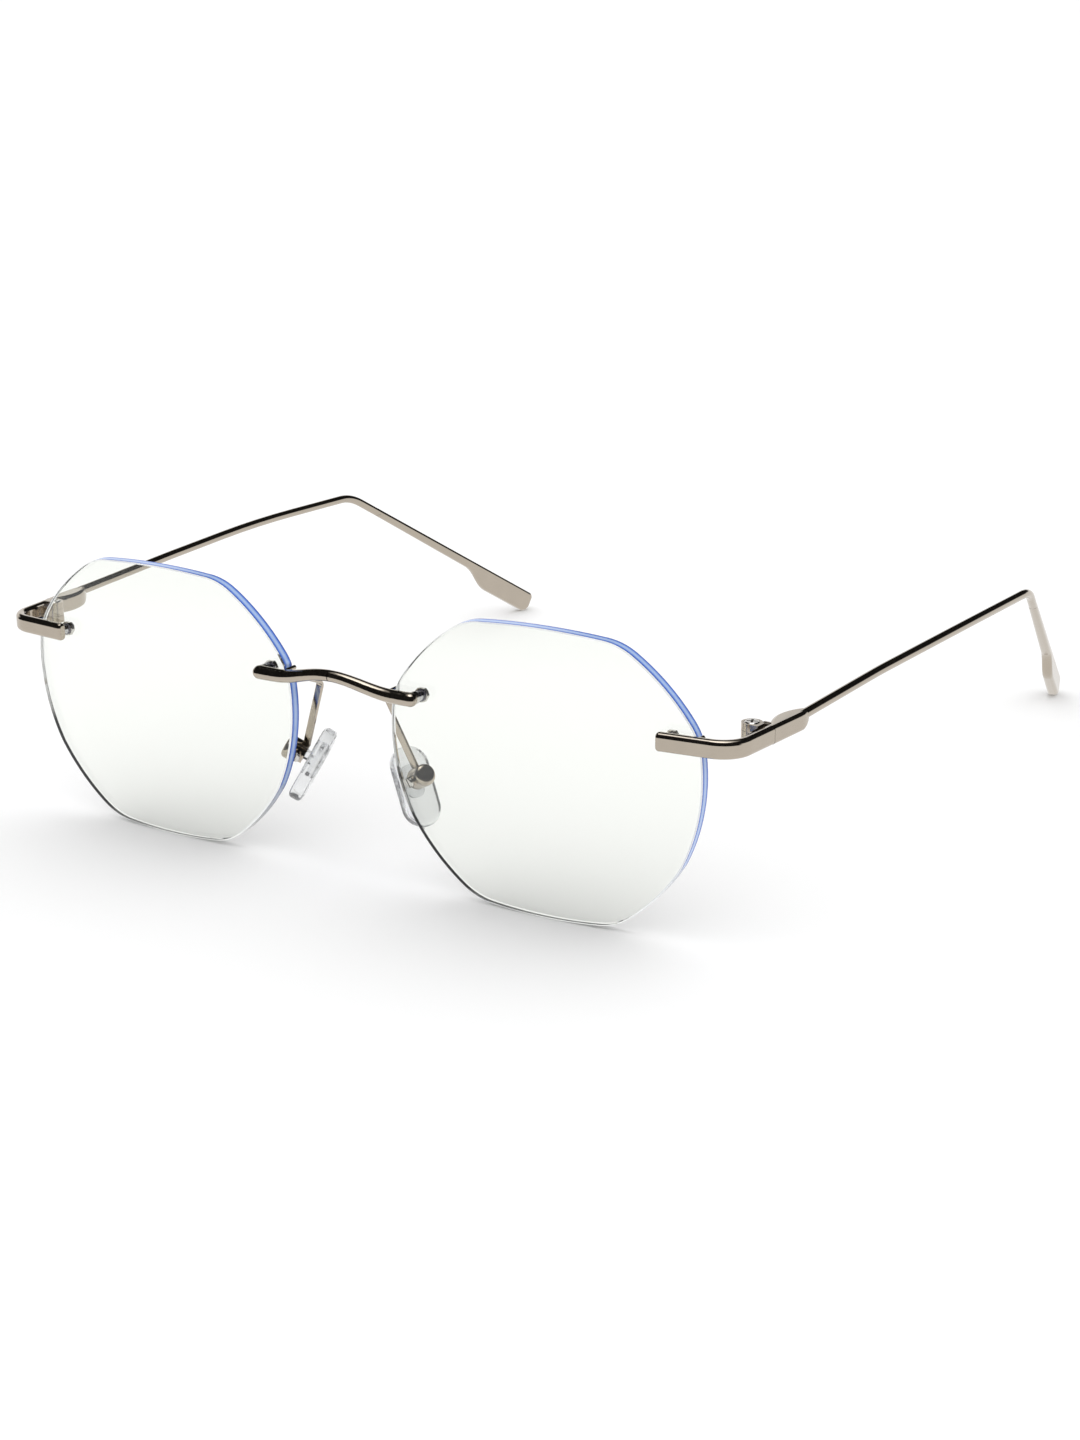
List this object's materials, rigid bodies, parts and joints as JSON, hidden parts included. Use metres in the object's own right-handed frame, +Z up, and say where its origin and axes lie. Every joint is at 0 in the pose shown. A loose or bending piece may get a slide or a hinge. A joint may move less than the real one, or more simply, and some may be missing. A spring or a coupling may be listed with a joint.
{
  "type": "rimless eyeglasses",
  "caption": "Rimless eyeglasses with clear soft-octagonal lenses, an arched wire bridge, L-shaped endpieces, folding wire temples and clear nose pads.",
  "frame": {"origin": "centre of the footprint on the table that the open glasses stand on", "axes": "+Z up from the table, +Y from the lens fronts back along the open temples, +X to the wearer's left"},
  "size_m": [0.1414, 0.1534, 0.0446],
  "materials": {
    "lens": "clear polished lens plastic with a faint grey-green cast and a blue-violet edge",
    "metal": "polished warm grey nickel plate",
    "hinge_metal": "polished nickel plate, slightly duller than the bars",
    "screw_metal": "turned and polished steel",
    "bush": "clear lilac nylon",
    "pad": "clear moulded silicone",
    "insert": "clear hard plastic core"
  },
  "bodies": {
    "front": {"bridge": "metal", "lens_studs": "screw_metal", "lens_bushes": "bush", "nut_washers": "screw_metal", "cap_nuts": "screw_metal", "lens_left": "lens", "lens_right": "lens", "endpiece_left": "metal", "endpiece_right": "metal", "endpiece_hinge_left": "hinge_metal", "endpiece_hinge_right": "hinge_metal", "hinge_screw_left": "screw_metal", "hinge_screw_right": "screw_metal", "pad_box_left": "metal", "pad_box_right": "metal", "pad_screw_left": "screw_metal", "pad_screw_right": "screw_metal", "pad_arm_left": "metal", "pad_arm_right": "metal"},
    "temple_left": {"temple_left": "metal", "temple_hinge_left": "hinge_metal"},
    "temple_right": {"temple_right": "metal", "temple_hinge_right": "hinge_metal"},
    "pad_left": {"nose_pad_left": "pad", "pad_insert_left": "insert"},
    "pad_right": {"nose_pad_right": "pad", "pad_insert_right": "insert"}
  },
  "joints": [
    {"name": "temple_left_fold", "type": "hinge", "parent": "front", "child": "temple_left", "pos_m": [0.06402, -0.06347, 0.03105], "axis": [0, 0, 1], "range_deg": [0, 90]},
    {"name": "temple_right_fold", "type": "hinge", "parent": "front", "child": "temple_right", "pos_m": [-0.06402, -0.06347, 0.03105], "axis": [0, 0, -1], "range_deg": [0, 82]},
    {"name": "pad_left_rock", "type": "hinge", "parent": "front", "child": "pad_left", "pos_m": [0.01168, -0.06839, 0.017], "axis": [-0.3105, -0.9319, -0.1876], "range_deg": [-6, 6]},
    {"name": "pad_right_rock", "type": "hinge", "parent": "front", "child": "pad_right", "pos_m": [-0.01168, -0.06839, 0.017], "axis": [0.3105, -0.9319, -0.1876], "range_deg": [-6, 6]}
  ]
}
